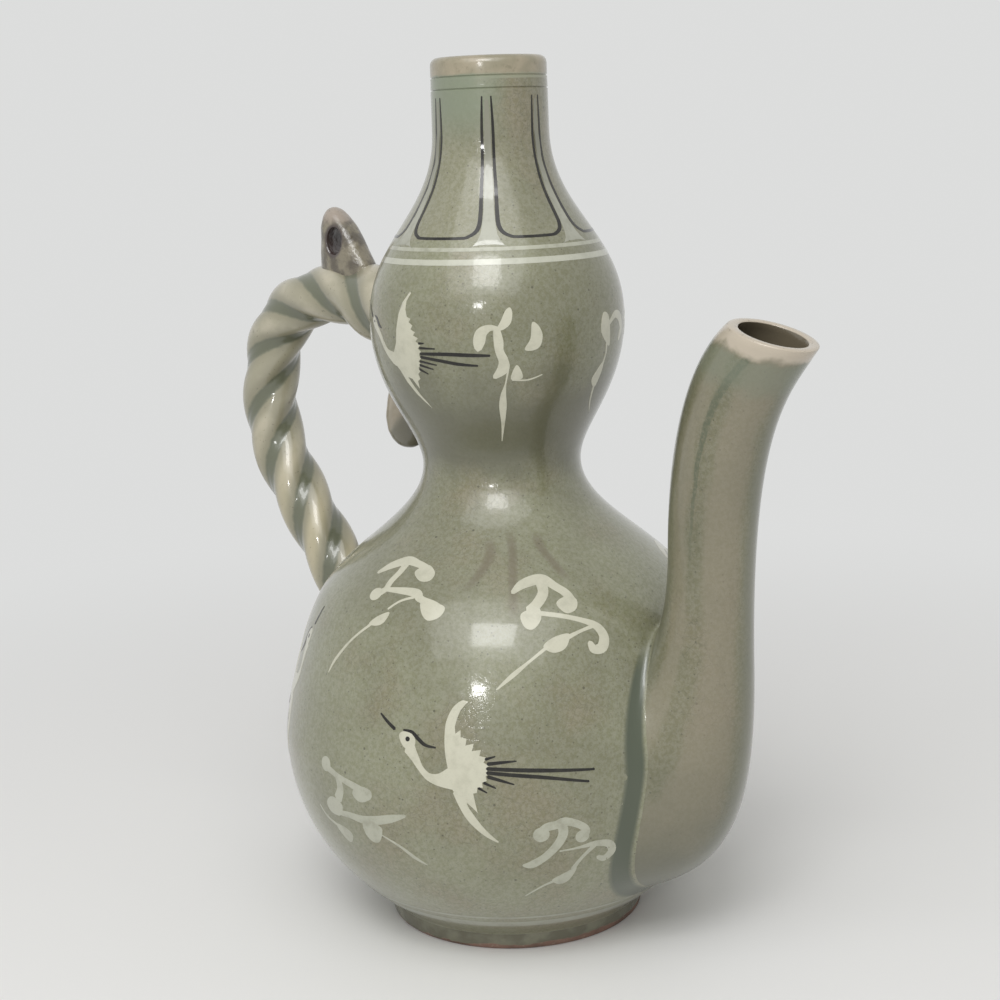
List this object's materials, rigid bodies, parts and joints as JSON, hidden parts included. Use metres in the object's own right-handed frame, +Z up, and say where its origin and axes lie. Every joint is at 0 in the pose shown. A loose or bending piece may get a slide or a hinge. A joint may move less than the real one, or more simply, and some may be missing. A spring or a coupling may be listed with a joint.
{
  "type": "celadon ewer",
  "caption": "Double-gourd ceramic ewer for pouring wine or water, with a long curved spout, a rope-twist handle, a cord loop and a glazed celadon finish.",
  "frame": {"origin": "middle of the ewer's footprint from handle to spout, on the surface that it stands on; the body's own axis is at x = 0.00077 m", "axes": "+X along the plane of the ewer towards the spout, -X towards the handle, +Z up through the mouth"},
  "size_m": [0.2342, 0.1498, 0.28],
  "materials": {
    "body_glaze": "glossy grey-green celadon glaze with a fine crackle",
    "handle_and_spout_glaze": "glossy celadon glaze, warmer where it is thin",
    "bare_foot_clay": "unglazed, red-brown fired clay",
    "lip_clay": "thin glaze over clay, pale beige",
    "white_inlay": "white slip under the glaze",
    "pooled_glaze": "dark, glossy, pooled glaze"
  },
  "bodies": {
    "root": {"foot_ring": "bare_foot_clay", "lower_bulb": "body_glaze", "upper_bulb": "body_glaze", "neck": "body_glaze", "mouth_rim": "lip_clay", "spout": "handle_and_spout_glaze", "spout_slip_bead": "body_glaze", "handle_strand_1": "handle_and_spout_glaze", "handle_strand_2": "handle_and_spout_glaze", "handle_strand_3": "handle_and_spout_glaze", "handle_upper_slip_bead": "body_glaze", "handle_lower_slip_bead": "body_glaze", "cord_loop": "pooled_glaze", "vine_tail": "handle_and_spout_glaze", "shoulder_line_thick": "white_inlay", "shoulder_line_thin": "white_inlay", "foot_line_thick": "white_inlay", "foot_line_thin": "white_inlay", "neck_strip_1": "white_inlay", "neck_strip_2": "white_inlay", "neck_strip_3": "white_inlay", "neck_strip_4": "white_inlay", "neck_strip_5": "white_inlay", "neck_strip_6": "white_inlay"}
  },
  "joints": []
}
